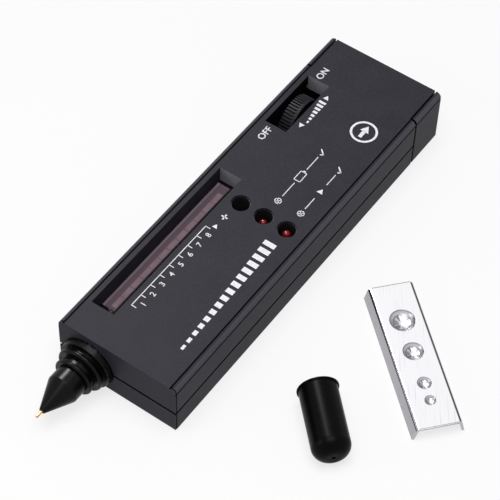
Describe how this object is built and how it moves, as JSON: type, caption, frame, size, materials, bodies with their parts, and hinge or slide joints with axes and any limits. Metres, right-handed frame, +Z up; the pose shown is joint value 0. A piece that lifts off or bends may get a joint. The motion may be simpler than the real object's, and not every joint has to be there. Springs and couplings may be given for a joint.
{
  "type": "gemstone tester",
  "caption": "Flat handheld gemstone tester with a bar display, lamps, a ribbed thumbwheel, a sprung probe and a sliding battery door, with its probe cap and a cupped stone rest beside it.",
  "frame": {"origin": "middle of the casing's underside, on the table", "axes": "+Z up, +Y from the probe to the battery door, +X to the casing's right side"},
  "size_m": [0.1165, 0.1757, 0.0214],
  "materials": {
    "casing": "fine matte grain",
    "lens": "smoky translucent",
    "display": "satin",
    "light_bar": "unlit translucent",
    "lamp": "clear red",
    "black_gloss": "satin gloss",
    "black_matte": "matte",
    "board": "lacquered",
    "trimmer": "gloss",
    "capacitor": "gloss",
    "ceramic": "matte",
    "header": "matte",
    "wheel": "satin",
    "shaft": "turned",
    "steel": "plated",
    "pot": "satin",
    "battery_case": "coated",
    "contact": "plated",
    "red_wire": "smooth",
    "black_wire": "smooth",
    "pale_wire": "smooth",
    "brass": "turned",
    "copper": "copper coloured, polished",
    "rest": "brushed"
  },
  "bodies": {
    "casing": {"upper_shell": "casing", "lower_shell": "casing", "display_window": "lens", "display_module": "display", "display_bars": "light_bar", "battery_lamp": "lamp", "ready_lamp": "lamp", "probe_collar": "black_gloss", "nose_cone": "black_gloss", "lamp_sleeves": "black_gloss", "lamp_spacers": "black_matte", "sounder": "black_matte", "driver_chips": "black_matte", "amplifier_chip": "black_matte", "battery_snap": "black_matte", "probe_plug": "black_matte", "circuit_board": "board", "trimmers": "trimmer", "capacitors": "capacitor", "resistors": "ceramic", "probe_header": "header", "case_screws": "steel", "board_screws": "steel", "probe_spring": "steel", "volume_pot": "pot", "battery": "battery_case", "battery_terminals": "contact", "snap_contacts": "contact", "red_lead": "red_wire", "black_lead": "black_wire", "probe_leads": "pale_wire"},
    "volume_wheel": {"thumbwheel": "wheel", "wheel_spindle": "shaft", "wheel_screw": "steel"},
    "probe": {"probe_tube": "brass", "probe_pin": "copper", "probe_heater": "ceramic"},
    "door": {"battery_door": "casing"},
    "cap": {"tip_cap": "black_gloss"},
    "rest": {"stone_rest": "rest"}
  },
  "joints": [
    {"name": "wheel_turn", "type": "hinge", "parent": "casing", "child": "volume_wheel", "pos_m": [-0.01445, 0.043, 0.0118], "axis": [-1, 0, 0], "range_deg": [0, 290]},
    {"name": "probe_press", "type": "slide", "parent": "casing", "child": "probe", "axis": [0, 1, 0], "range_m": [0, 0.0015], "stiffness_N_per_m": 300, "springref_m": -0.002, "deforming": ["probe_spring"]},
    {"name": "battery_door_slide", "type": "slide", "parent": "casing", "child": "door", "axis": [0, 1, 0], "range_m": [0, 0.06]},
    {"name": "cap_lift", "type": "slide", "parent": "casing", "child": "cap", "axis": [0, 0, 1], "range_m": [0, 0.03]},
    {"name": "rest_lift", "type": "slide", "parent": "casing", "child": "rest", "axis": [0, 0, 1], "range_m": [0, 0.03]}
  ]
}
